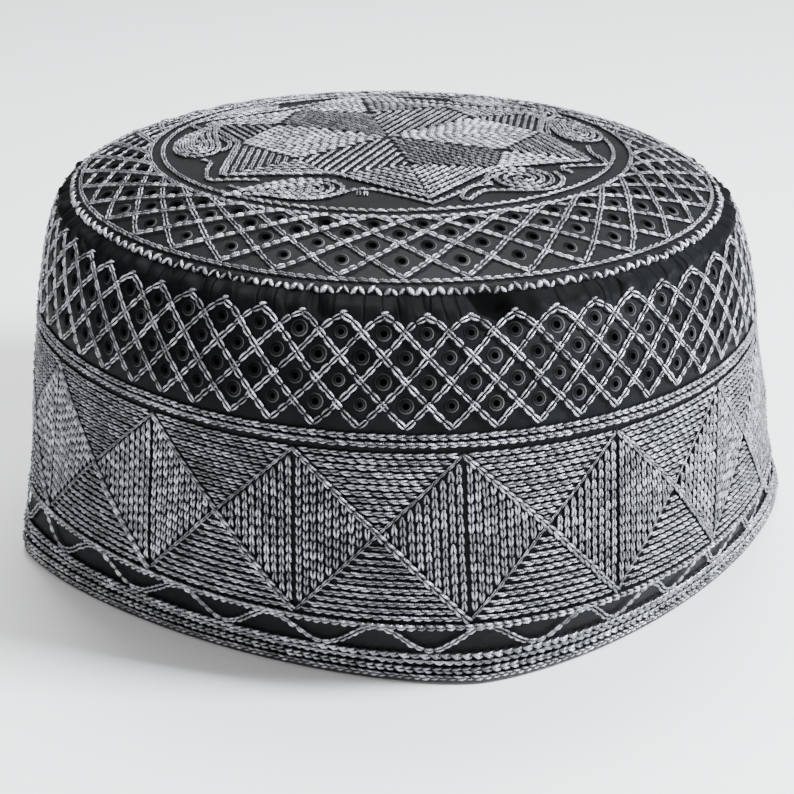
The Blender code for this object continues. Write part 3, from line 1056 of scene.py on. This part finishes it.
# %% The lattice of the side
Anchor = namedtuple("Anchor", "number foot peak")
LATTICE_ANCHORS = (
    Anchor(-12, -0.2182, -0.2074), Anchor(-8, -0.1422, -0.1390), Anchor(-4, -0.0770, -0.0732),
    Anchor(0, -0.0095, -0.0089), Anchor(4, 0.0558, 0.0608), Anchor(6, 0.0890, 0.0982),
    Anchor(9, 0.1415, 0.1690), Anchor(48, 0.7818, 0.7926),
)
LATTICE_TURNS = 60
LATTICE_NUMBERS = np.arange(-12, 48)
PASS = 2.5
LATTICE_FOOT = 65.6
LATTICE_RISE = 23.4
PEAK_ROUNDING = 0.10
LATTICE_LEVELS = 5
EYELET_LEVELS = (1, 2, 3, 4)


def lattice_place(number, rise):
    """Share of the way round and height, for a place counted along the feet and upward."""
    known = column(LATTICE_ANCHORS, "number")
    start = known[0]
    turns = np.floor((number - start) / LATTICE_TURNS)
    within = number - turns * LATTICE_TURNS
    foot = np.interp(within, known, column(LATTICE_ANCHORS, "foot"))
    peak = np.interp(within, known, column(LATTICE_ANCHORS, "peak"))
    softened = 1 - np.sqrt((1 - rise) ** 2 + PEAK_ROUNDING ** 2)
    return foot * (1 - rise) + peak * rise + turns, LATTICE_FOOT + LATTICE_RISE * softened


Strand = namedtuple("Strand", "width lift")


def cross_chains(numbers, place, on_cloth, up, down, pitch, shade):
    """From every foot one chain that climbs to the right and one that comes back down to it."""
    rise = np.linspace(0.0, 1.0, 61)
    runs = []
    for number in numbers:
        climb = place(number + PASS * rise, rise)
        back = [value[::-1] for value in place(number - PASS * rise, rise)]
        for path, strand in ((climb, up), (back, down)):
            runs.append(chain(*on_cloth(*path), strand.width, pitch, strand.lift, shade=shade))
    return runs


runs = cross_chains(LATTICE_NUMBERS, lattice_place, on_side, Strand(1.35, 0.0),
                    Strand(1.40, 0.30), 2.5, 0.08)
sew("side_lattice", runs, OPEN_STITCH, 1.3)

# %% Small knots above the lattice
KNOT_HEIGHTS = (87.0, 87.2)
share, _ = lattice_place(LATTICE_NUMBERS + 0.5, np.ones(LATTICE_TURNS))
runs = [chain(*side_path([s - 0.0014, s + 0.0020], KNOT_HEIGHTS), 0.85, 1.9, lift=0.2)
        for s in share]
sew("lattice_knots", runs, BAR_STITCH)


# %% Eyelets
Turned = namedtuple("Turned", "radius height tone")
# The tone column is painted shade: each ring is darker at its foot and down its inner wall, and its
# hole is a disc painted black, where the opening shows only shade.
EYELET = (
    Turned(1.72, -0.06, 0.10),
    Turned(1.62, 0.13, 0.46),
    Turned(1.46, 0.14, 0.36),
    Turned(1.34, 0.07, 0.15),
    Turned(0.78, 0.10, 0.24),
    Turned(0.63, 0.05, 0.00),
    Turned(0.00, 0.04, 0.00),
)
EYELET_SIDES = 12
HOLE_SHIFT = 0.15
# The bearing of the painted highlight on each eyelet's ring.
EYELET_HIGHLIGHT_BEARING = 30.0


def make_eyelet_finish():
    """Dark thread round a hole painted black; the tone runs from hole to rim, and holds painted
    shade and a painted highlight.
    """
    material, tree, shader = new_material("eyelet_thread", 0.7, 0.0)
    tone = add_node(tree, "ShaderNodeAttribute", attribute_name="tone")
    strands = add_pattern(tree, "ShaderNodeTexWave", mapped_uv(tree, (4.0, 0.4, 1.0)),
                          Distortion=1.0, Detail=1.0)
    tint = color_ramp(tree, tone.outputs["Fac"], (
        (0.02, (0.0004, 0.0004, 0.0004)), (0.15, (0.012, 0.012, 0.013)),
        (0.60, (0.14, 0.14, 0.145)),
    ))
    tree.links.new(tint, shader.inputs["Base Color"])
    add_bump(tree, shader, strands, 0.4, 0.0001)
    return material


def add_eyelets(name, points, normals, toward, hole=1.0, longer=1.0):
    """Turned rings at many places; each hole sits a little off the middle of its ring.

    The hole is made wider by one factor, and the whole eyelet longer toward a direction.
    """
    count = len(points)
    chance = np.random.default_rng(count)
    size = 1 + 0.08 * chance.normal(size=(count, 1)).clip(-2, 2)
    bright = chance.uniform(0.60, 1.15, (count, 1))
    side = unit(np.cross(normals, toward))
    ahead = np.cross(side, normals)
    angle = 2 * pi * np.arange(EYELET_SIDES) / EYELET_SIDES
    rings = []
    for t in EYELET[:-1]:
        inner = t.radius < 1.0
        out = t.radius * MM * size * (hole if inner else 1.0)
        off = (HOLE_SHIFT * MM if inner else 0.0) * (side + ahead) / 2
        rings.append((points + off)[:, None, :] + normals[:, None, :] * t.height * MM
                     + side[:, None, :] * (out * np.cos(angle))[..., None]
                     + ahead[:, None, :] * (out * longer * np.sin(angle))[..., None])
    hub = points + HOLE_SHIFT * MM * (side + ahead) / 2 + normals * EYELET[-1].height * MM
    corners = np.concatenate([np.concatenate(rings, axis=1), hub[:, None, :]], axis=1)
    each = corners.shape[1]
    k = np.arange(EYELET_SIDES)
    after = (k + 1) % EYELET_SIDES
    first = np.arange(len(EYELET) - 2)[:, None] * EYELET_SIDES
    quads = np.stack([first + k, first + EYELET_SIDES + k, first + EYELET_SIDES + after,
                      first + after], axis=-1).reshape(-1, 4)[:, ::-1]
    last = (len(EYELET) - 2) * EYELET_SIDES
    fan = np.stack([np.full_like(k, each - 1), last + k, last + after], axis=-1)
    base = np.arange(count)[:, None, None] * each
    faces = [(quads[None] + base).reshape(-1, 4), (fan[None] + base).reshape(-1, 3)]
    # A painted highlight: each ring is painted lighter on one side, toward a set bearing, and darker
    # on the other.
    lit = 0.35 + 0.65 * (0.5 + 0.5 * np.cos(angle - radians(EYELET_HIGHLIGHT_BEARING)))
    tone = np.concatenate([t.tone * lit for t in EYELET[:-1]] + [np.zeros(1)])
    spin = np.concatenate([np.tile(k / EYELET_SIDES, len(EYELET) - 1), [0.0]])
    reach = np.concatenate([np.repeat([t.radius for t in EYELET[:-1]], EYELET_SIDES), [0.0]])
    flat = np.stack([spin * EYELET_SIDES, reach], axis=-1)
    uv = np.concatenate([np.tile(flat[quads.ravel()], (count, 1)),
                         np.tile(flat[fan.ravel()], (count, 1))])
    print(f"{name}: {count} eyelets")
    return add_mesh(name, corners.reshape(-1, 3), faces, uv, EYELET_FINISH,
                    (bright * tone).ravel())


def cell_middles(numbers, place):
    """The places in the middle of a lattice's openings, one level after another."""
    levels = [place(numbers + 0.5 * (j + 1), np.full(len(numbers), j / LATTICE_LEVELS))
              for j in EYELET_LEVELS]
    return [np.concatenate(values) for values in zip(*levels)]


EYELET_FINISH = make_eyelet_finish()
add_eyelets("side_eyelets", *on_side(*cell_middles(LATTICE_NUMBERS, lattice_place)), -UP)

# %% [markdown]
# ## The pattern of the crown
#
# Whipped stitches cover the seam, and a chain runs just inside it. Then comes a lattice like
# the side's, a double ring, and in the middle a six-pointed star of filled facets with a
# curl in each of its gaps. Places in the middle are in millimetres to the right of the
# crown's middle and behind it.

# %% Rings and whipped seam
EDGE_RING = 0.034
RING_LOW = 0.2575
RING_LOW_LEAN = 0.0125
RING_HIGH = 0.3050
RING_HIGH_LEAN = 0.0200
fine_round = np.linspace(0.0, 1.0, ROUND + 1)
lean = np.sin(2 * pi * fine_round)
sew("crown_rings", [chain(*on_crown(fine_round, middle + by * lean), 1.15, 2.2, skew=-0.1)
                    for middle, by in ((EDGE_RING, 0.0), (RING_LOW, RING_LOW_LEAN),
                                       (RING_HIGH, RING_HIGH_LEAN))])

WHIP_PITCH = 1.65
WHIP_WIDTH = 1.25
WHIP_SLANT = 0.47
WHIP_ANGLES = (-48.0, 98.0)
WHIP_SHADE = 0.16


def over_roll(share, angle):
    """Points and directions on the seam's roll, by angle from level outward to upright."""
    base, out = seam_places(share)
    facing = out * cos(radians(angle)) + UP * sin(radians(angle))
    return base + facing * ROLL_RADIUS * 1.1, facing


count = 2 * round(crown_round[0] / (2 * WHIP_PITCH * MM))
places = np.arange(count) / count
slant = np.where(np.arange(count) % 2 == 0, 1.0, -1.0) * WHIP_SLANT / count
outer, out_facing = over_roll(places - slant, WHIP_ANGLES[0])
inner, in_facing = over_roll(places + slant, WHIP_ANGLES[1])
rest = np.broadcast_to([WHIP_WIDTH * MM, 0.0, WHIP_SHADE], (count, 3))
rows = np.concatenate([outer, inner, out_facing + in_facing, rest], axis=1)
whipped = sew("whipped_seam", [rows], BAR_STITCH, 2.2)
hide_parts("crown_seam")

# %% The lattice of the crown
CROWN_TURNS = 36
CROWN_START = 0.003
LEVEL_PLACES = (0.0435, 0.093, 0.1435, 0.184, 0.2235, 0.256)


def crown_lattice_place(number, rise):
    """Share of the way round and inward, for a place counted round the edge and inward."""
    share = CROWN_START + number / CROWN_TURNS
    levels = np.arange(LATTICE_LEVELS + 1) / LATTICE_LEVELS
    even = np.interp(rise, levels, LEVEL_PLACES)
    inner = RING_LOW + RING_LOW_LEAN * np.sin(2 * pi * share)
    first, last = LEVEL_PLACES[0], LEVEL_PLACES[-1]
    return share, first + (even - first) * (inner - first) / (last - first)


runs = cross_chains(np.arange(CROWN_TURNS), crown_lattice_place, on_crown, Strand(1.38, 0.25),
                    Strand(1.26, 0.0), 2.3, 0.06)
sew("crown_lattice", runs, OPEN_STITCH, 1.2)
openings = on_crown(*cell_middles(np.arange(CROWN_TURNS), crown_lattice_place))
add_eyelets("crown_eyelets", *openings, np.array([0.0, -1.0, 0.0]), hole=1.25, longer=1.30)

# %% Corners of the star
Place = namedtuple("Place", "x y")
STAR_MIDDLE = Place(-0.5, 6.0)
STAR_TIPS = (Place(0.0, -46.0), Place(44.0, -20.0), Place(44.5, 28.0),
             Place(0.0, 50.6), Place(-43.5, 28.0), Place(-44.5, -20.5))
STAR_INNER = (Place(0.0, -19.5), Place(24.5, -10.5), Place(24.5, 23.0),
              Place(-1.0, 31.5), Place(-25.5, 22.5), Place(-25.5, -11.0))
STAR_VALLEYS = (Place(19.5, -25.0), Place(38.0, 6.0), Place(19.0, 37.0),
                Place(-19.0, 37.0), Place(-37.5, 6.5), Place(-18.5, -25.0))


def hatch(corners, direction, pitch, inset):
    """Even lines across a convex shape, parallel to a direction and short of its edges.

    The corners go anticlockwise. Each edge keeps the part of a line on its inner side,
    where the distance from the edge, (p - corner) . inward normal, is above the inset.
    """
    shape = np.array(corners, float)
    way = np.array(direction, float) / np.hypot(*direction)
    square = np.array([-way[1], way[0]])
    edge = np.roll(shape, -1, axis=0) - shape
    inner = np.stack([-edge[:, 1], edge[:, 0]], axis=1)
    inner = inner / np.linalg.norm(inner, axis=1, keepdims=True)
    off = shape @ square
    count = int((off.max() - off.min() - 2 * inset) / pitch)
    first = (off.max() + off.min() - count * pitch) / 2
    lines = []
    for offset in first + pitch * np.arange(count + 1):
        foot = square * offset
        room = ((foot - shape) * inner).sum(axis=1) - inset
        speed = inner @ way
        with np.errstate(divide="ignore"):
            limit = -room / np.where(np.abs(speed) < 1e-9, 1e-9, speed)
        low = limit[speed > 1e-9].max()
        high = limit[speed < -1e-9].min()
        if high - low > 1.2 and (room[np.abs(speed) <= 1e-9] > -1e-6).all():
            lines.append((foot + way * low, foot + way * high))
    return lines


def crown_run(knots, width, pitch, **more):
    """A chain along knots given in millimetres about the crown's middle."""
    knots = np.array(knots, float)
    step = np.hypot(*np.diff(knots, axis=0).T)
    run = np.concatenate([[0.0], np.cumsum(step)])
    fine = np.linspace(0.0, run[-1], max(8, int(run[-1] * 2)))
    x = np.interp(fine, run, knots[:, 0])
    y = np.interp(fine, run, knots[:, 1])
    return chain(*on_crown_plan(x, y), width, pitch, **more)


# %% Filled facets of the star
# The shade column is painted light: the thread's sheen changes with the way a facet's rows run, so
# each facet is painted lighter or darker, like lit and shaded copies of one thread.
Facet = namedtuple("Facet", "pitch width shade")
RHOMBI = (
    Facet(1.75, 1.10, -0.16), Facet(1.80, 1.15, 0.04), Facet(1.95, 1.05, -0.02),
    Facet(1.75, 1.10, -0.14), Facet(1.80, 1.15, 0.05), Facet(2.20, 1.00, 0.06),
)
POINTS_AFTER = (
    Facet(1.90, 1.15, 0.06), Facet(1.80, 1.10, 0.02), Facet(1.80, 1.05, -0.04),
    Facet(1.80, 1.05, 0.00), Facet(2.00, 0.95, 0.04), Facet(2.05, 0.95, 0.06),
)
POINTS_BEFORE = (
    Facet(2.00, 0.95, 0.06), Facet(1.85, 1.15, 0.10), Facet(1.80, 1.10, 0.00),
    Facet(1.80, 1.05, -0.06), Facet(1.95, 1.00, 0.02), Facet(1.85, 1.05, 0.02),
)
runs = []
for i in range(6):
    j = (i + 1) % 6
    spine = (STAR_VALLEYS[i].x - STAR_MIDDLE.x, STAR_VALLEYS[i].y - STAR_MIDDLE.y)
    rhombus = (STAR_MIDDLE, STAR_INNER[i], STAR_VALLEYS[i], STAR_INNER[j])
    fill = RHOMBI[i]
    for a, b in hatch(rhombus, spine, fill.pitch, 0.3):
        runs.append(crown_run((b, a), fill.width, 2.2, shade=fill.shade))
    for tip, inner in ((i, i), (j, j)):
        facet = (STAR_INNER[inner], STAR_TIPS[tip], STAR_VALLEYS[i])
        if tip == j:
            facet = (STAR_INNER[inner], STAR_VALLEYS[i], STAR_TIPS[tip])
        outer = (STAR_TIPS[tip].x - STAR_VALLEYS[i].x, STAR_TIPS[tip].y - STAR_VALLEYS[i].y)
        fill = POINTS_BEFORE[tip] if tip == j else POINTS_AFTER[tip]
        for a, b in hatch(facet, outer, fill.pitch, 0.35):
            runs.append(crown_run((a, b), fill.width, 2.2, shade=fill.shade))
sew("star_facets", runs)


# %% The star's outline and its curls
def flowing(knots):
    """A smooth curve through knots, each cubic set by its two knots and their neighbours."""
    p = np.array(knots, float)
    p = np.concatenate([2 * p[:1] - p[1:2], p, 2 * p[-1:] - p[-2:-1]])
    a, b, c, d = p[:-3, None], p[1:-2, None], p[2:-1, None], p[3:, None]
    t = np.linspace(0.0, 1.0, 13)[None, :-1, None]
    curve = (b + (c - a) * t / 2 + (2 * a - 5 * b + 4 * c - d) * t ** 2 / 2
             + (3 * b - a - 3 * c + d) * t ** 3 / 2).reshape(-1, 2)
    return np.concatenate([curve, p[-2:-1]])


OUTLINES = (
    # front point, leftward into the lower left curl
    ((0.0, -49.8), (-3.5, -46.0), (-8.0, -41.5), (-11.5, -38.4), (-15.5, -37.6),
     (-20.0, -40.5), (-25.0, -42.3), (-30.0, -41.3), (-36.0, -37.0), (-43.5, -28.5)),
    # lower left point
    ((-36.0, -26.2), (-41.5, -24.6), (-47.0, -23.4), (-47.6, -20.0), (-46.8, -14.0),
     (-45.5, -9.0), (-47.5, -6.0)),
    # upper left point down into the left curl
    ((-20.5, 41.0), (-33.0, 36.0), (-46.5, 30.5), (-43.5, 20.0), (-40.2, 10.0),
     (-39.6, 5.3), (-41.6, 0.8), (-43.6, 1.6)),
    # back point
    ((-20.5, 41.0), (-11.0, 46.2), (0.0, 52.2), (11.0, 46.2), (20.5, 41.0)),
    # upper right point
    ((20.5, 41.0), (33.0, 36.0), (47.0, 30.5), (44.0, 20.0), (40.7, 10.0), (40.1, 5.3)),
    # lower right point
    ((46.5, -7.0), (46.0, -14.0), (47.3, -20.0), (46.6, -23.6), (40.5, -24.4),
     (36.3, -25.2), (34.9, -27.3), (37.0, -29.4)),
    # front point, rightward
    ((0.0, -49.8), (8.0, -42.5), (15.0, -35.0), (19.8, -29.5)),
    # two short strokes under the lower left curl
    ((-13.4, -39.2), (-13.9, -42.0)),
    ((-14.9, -38.8), (-15.4, -41.2)),
)
runs = [crown_run(flowing(knots), 1.25, 2.2) for knots in OUTLINES]
edge = [corner for pair in zip(STAR_TIPS, STAR_VALLEYS) for corner in pair] + [STAR_TIPS[0]]
runs.append(crown_run(edge, 1.30, 2.2, lift=0.08))
sew("star_outline", runs)

# %% Paisley curls
Paisley = namedtuple("Paisley", "name x y length width turn bend")
PAISLEYS = (
    Paisley("lower_left", -26.5, -35.0, 26.0, 15.5, 160.0, 0.14),
    Paisley("right", 47.5, 7.0, 30.0, 12.5, 92.0, 0.14),
    Paisley("back_right", 29.0, 42.8, 19.0, 7.6, -25.0, -0.06),
    Paisley("back_left", -29.0, 42.8, 19.0, 7.6, 205.0, 0.06),
    Paisley("left", -47.5, 7.0, 32.0, 12.5, 88.0, -0.14),
)
NESTED = (1.0, 0.72, 0.46, 0.22)


def paisley_loop(p, scale):
    """A drop, x = cos t, y = sin t sin^1.6(t / 2), its tail bent to one side, then placed."""
    t = np.linspace(0.0, 2 * pi, 73)
    x = (np.cos(t) + 0.35) * 0.5
    y = np.sin(t) * np.sin(t / 2) ** 1.6 * 0.62
    x = x * p.length * scale
    y = y * p.width * scale + p.bend * np.maximum(x, 0.0) ** 2 / p.length * 4
    turn = radians(p.turn)
    return np.stack([p.x + x * cos(turn) - y * sin(turn),
                     p.y + x * sin(turn) + y * cos(turn)], axis=1)


runs = [crown_run(paisley_loop(p, scale), 1.30, 2.1, lift=0.05)
        for p in PAISLEYS for scale in NESTED]

# The lower right curl is a spiral, and its end runs on into a leaf beside the front point.
LEAF = ((32.6, -29.0), (33.4, -35.5), (30.2, -41.3), (23.5, -42.9), (15.8, -42.3),
        (12.6, -42.9), (10.3, -46.0), (8.0, -48.6), (7.2, -46.2), (9.0, -41.8),
        (12.2, -38.7), (16.2, -38.0))
Curl = namedtuple("Curl", "x y radius step start turns")
CURL = Curl(23.8, -34.2, 8.5, 2.15, 207.0, 3.4)


def curl_path(c):
    """A spiral inward: the angle falls evenly, and the radius with it."""
    turned = np.linspace(0.0, c.turns, 140)
    angle = radians(c.start) - 2 * pi * turned
    radius = c.radius - c.step * turned
    return np.stack([c.x + radius * np.cos(angle), c.y + radius * np.sin(angle)], axis=1)


runs.append(crown_run(np.concatenate([flowing(LEAF), curl_path(CURL)]), 1.25, 2.1, lift=0.05))
sew("paisleys", runs)

# %% [markdown]
# ## Floor, light and camera
#
# The cap stands on a plain pale floor that runs into a pale surround. The strong soft light
# comes from the upper right, as in the photograph, so the left side is darker. The camera
# stands a little to the left of the front, half a metre away, looking slightly down.

# %% The floor
def add_floor(half_width, level):
    """A plain square just under the hem."""
    corners = [(-half_width, -half_width, level), (half_width, -half_width, level),
               (half_width, half_width, level), (-half_width, half_width, level)]
    mesh = bpy.data.meshes.new("floor")
    mesh.from_pydata(corners, [], [(0, 1, 2, 3)])
    material, tree, shader = new_material("pale_floor", 0.9)
    place = add_node(tree, "ShaderNodeTexCoord")
    grain = add_pattern(tree, "ShaderNodeTexNoise", place.outputs["Object"], Scale=3.0,
                        Detail=2.0)
    tint = color_ramp(tree, grain, (
        (0.3, (0.86, 0.86, 0.86)), (0.7, (0.88, 0.88, 0.88)),
    ))
    tree.links.new(tint, shader.inputs["Base Color"])
    mesh.materials.append(material)
    floor = bpy.data.objects.new("floor", mesh)
    bpy.context.scene.collection.objects.link(floor)


add_floor(3.0, model_box[0][2] - 0.0002)

# %% The lights
Lamp = namedtuple("Lamp", "name place width height power color")
LAMPS = (
    Lamp("key", (0.85, -0.50, 0.70), 0.35, 0.35, 64.0, (0.90, 0.96, 1.0)),
    Lamp("top", (0.10, 0.35, 1.10), 0.70, 0.50, 19.0, (0.96, 0.98, 1.0)),
    Lamp("fill", (-0.80, -0.95, 0.50), 0.60, 0.60, 5.5, (1.0, 0.95, 0.92)),
)
WORLD_COLOR = (0.95, 0.97, 1.0)
WORLD_STRENGTH = 0.62
CAP_MIDDLE = Vector((0.0, 0.0, 0.05))


def add_lamp(lamp):
    light = bpy.data.lights.new(lamp.name, "AREA")
    light.shape = "RECTANGLE"
    light.size = lamp.width
    light.size_y = lamp.height
    light.energy = lamp.power
    light.color = lamp.color
    place = Vector(lamp.place)
    turn = (CAP_MIDDLE - place).to_track_quat("-Z", "Y").to_matrix().to_4x4()
    piece = bpy.data.objects.new(lamp.name, light)
    piece.matrix_world = Matrix.Translation(place) @ turn
    bpy.context.scene.collection.objects.link(piece)


for lamp in LAMPS:
    add_lamp(lamp)
world = bpy.data.worlds.new("surround")
world.use_nodes = True
surround = world.node_tree.nodes["Background"]
surround.inputs["Color"].default_value = (*WORLD_COLOR, 1.0)
surround.inputs["Strength"].default_value = WORLD_STRENGTH
bpy.context.scene.world = world

# %% The camera
CAMERA_PLACE = Vector((-0.08762, -0.49243, 0.23636))
CAMERA_AIM = Vector((0.0, -0.001724, 0.04605))
CAMERA_ROLL = -0.0082
LENS = 96.04
CAMERA_SHIFT = (-0.0156, -0.0579)


def add_camera():
    data = bpy.data.cameras.new("camera")
    data.lens = LENS
    data.sensor_width = 36.0
    data.shift_x, data.shift_y = CAMERA_SHIFT
    camera = bpy.data.objects.new("camera", data)
    turn = (CAMERA_AIM - CAMERA_PLACE).to_track_quat("-Z", "Y").to_matrix().to_4x4()
    roll = Matrix.Rotation(CAMERA_ROLL, 4, "Z")
    camera.matrix_world = Matrix.Translation(CAMERA_PLACE) @ turn @ roll
    bpy.context.scene.collection.objects.link(camera)
    bpy.context.scene.camera = camera


add_camera()
